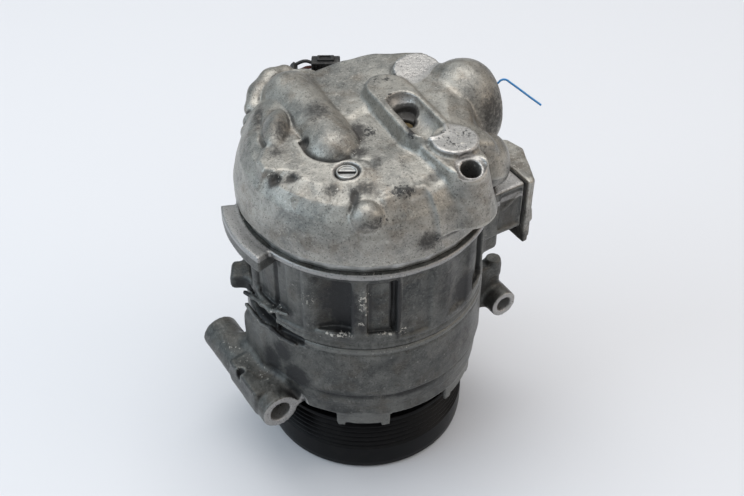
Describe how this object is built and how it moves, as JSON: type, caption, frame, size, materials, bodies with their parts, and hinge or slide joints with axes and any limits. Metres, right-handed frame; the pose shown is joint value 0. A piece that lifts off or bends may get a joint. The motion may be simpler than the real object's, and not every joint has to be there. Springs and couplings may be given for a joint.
{
  "type": "automotive air conditioning compressor",
  "caption": "Belt-driven axial-piston compressor for vehicle air conditioning, with a grooved pulley, cast housings, a side muffler and refrigerant ports in the rear head.",
  "frame": {"origin": "middle of the hub bolt end face, on the shaft axis and level with the pulley front face", "axes": "+Z along the drive shaft from the pulley to the rear head; -Y faces the side between the mounting tube and the ports"},
  "size_m": [0.1787, 0.1342, 0.203],
  "materials": {
    "head_alloy": "as-cast, light grey with grime",
    "case_alloy": "as-cast, dark oily grey",
    "steel": "machined",
    "dark_steel": "dark hardened",
    "cast_iron": "machined cast iron",
    "brass": "machined",
    "pulley_paint": "matt black coating, rubbed in the grooves",
    "rubber": "matt",
    "gasket": "coated sheet",
    "piston_alloy": "turned, coated skirt",
    "connector_plastic": "moulded",
    "black_insulation": "smooth",
    "red_insulation": "smooth, aged",
    "blue_insulation": "smooth"
  },
  "bodies": {
    "housing": {"front_housing": "case_alloy", "cylinder_block": "case_alloy", "muffler_gasket": "gasket", "muffler_cover": "head_alloy", "rear_head": "head_alloy", "slotted_plug": "steel", "control_valve_body": "brass", "valve_solenoid": "connector_plastic", "wiring_connector": "connector_plastic", "black_wire": "black_insulation", "red_wire": "red_insulation", "blue_wire": "blue_insulation", "suction_reed_plate": "steel", "valve_plate": "steel", "discharge_reed_plate": "steel", "head_gasket": "gasket", "crankcase_o_ring": "rubber", "shaft_seal": "rubber", "bearing_inner_race": "steel", "bearing_snap_ring": "dark_steel", "through_bolt_1": "steel", "piston_1": "piston_alloy", "shoe_1_upper": "dark_steel", "shoe_1_lower": "dark_steel", "through_bolt_2": "steel", "piston_2": "piston_alloy", "shoe_2_upper": "dark_steel", "shoe_2_lower": "dark_steel", "through_bolt_3": "steel", "piston_3": "piston_alloy", "shoe_3_upper": "dark_steel", "shoe_3_lower": "dark_steel", "through_bolt_4": "steel", "piston_4": "piston_alloy", "shoe_4_upper": "dark_steel", "shoe_4_lower": "dark_steel", "through_bolt_5": "steel", "piston_5": "piston_alloy", "shoe_5_upper": "dark_steel", "shoe_5_lower": "dark_steel", "through_bolt_6": "steel", "piston_6": "piston_alloy", "shoe_6_upper": "dark_steel", "shoe_6_lower": "dark_steel"},
    "rotating_group": {"drive_shaft": "steel", "lug_plate": "cast_iron", "swash_plate": "cast_iron", "hinge_pin": "steel", "destroke_spring": "steel", "bearing_outer_race": "steel", "pulley": "pulley_paint", "hub_damper": "rubber", "hub_plate": "dark_steel", "hub_bolt": "steel"},
    "pulley_ball_set": {"bearing_ball_set": "steel"},
    "front_needles": {"front_needle_bearing": "steel"},
    "rear_needles": {"rear_needle_bearing": "steel"},
    "thrust_rollers": {"thrust_bearing": "steel"},
    "control_rod": {"control_valve_rod": "steel"},
    "check_valve": {"check_valve_poppet": "brass"}
  },
  "joints": [
    {"name": "shaft_spin", "type": "hinge", "parent": "housing", "child": "rotating_group", "pos_m": [0, 0, 0], "axis": [0, 0, 1], "continuous": true},
    {"name": "pulley_ball_roll", "type": "hinge", "parent": "housing", "child": "pulley_ball_set", "pos_m": [0, 0, 0], "axis": [0, 0, 1], "continuous": true},
    {"name": "front_needle_roll", "type": "hinge", "parent": "housing", "child": "front_needles", "pos_m": [0, 0, 0], "axis": [0, 0, 1], "continuous": true},
    {"name": "rear_needle_roll", "type": "hinge", "parent": "housing", "child": "rear_needles", "pos_m": [0, 0, 0], "axis": [0, 0, 1], "continuous": true},
    {"name": "thrust_roller_roll", "type": "hinge", "parent": "housing", "child": "thrust_rollers", "pos_m": [0, 0, 0], "axis": [0, 0, 1], "continuous": true},
    {"name": "control_rod_slide", "type": "slide", "parent": "housing", "child": "control_rod", "axis": [0, -1, 0], "range_m": [0, 0.0008], "stiffness_N_per_m": 400, "springref_m": -0.002},
    {"name": "check_valve_lift", "type": "slide", "parent": "housing", "child": "check_valve", "axis": [0, 0, 1], "range_m": [0, 0.0025], "stiffness_N_per_m": 150, "springref_m": -0.003}
  ],
  "couplings": [
    {"joint": "pulley_ball_roll", "follows": "shaft_spin", "ratio": 0.5459},
    {"joint": "front_needle_roll", "follows": "shaft_spin", "ratio": 0.4054},
    {"joint": "rear_needle_roll", "follows": "shaft_spin", "ratio": 0.4054},
    {"joint": "thrust_roller_roll", "follows": "shaft_spin", "ratio": 0.5}
  ]
}
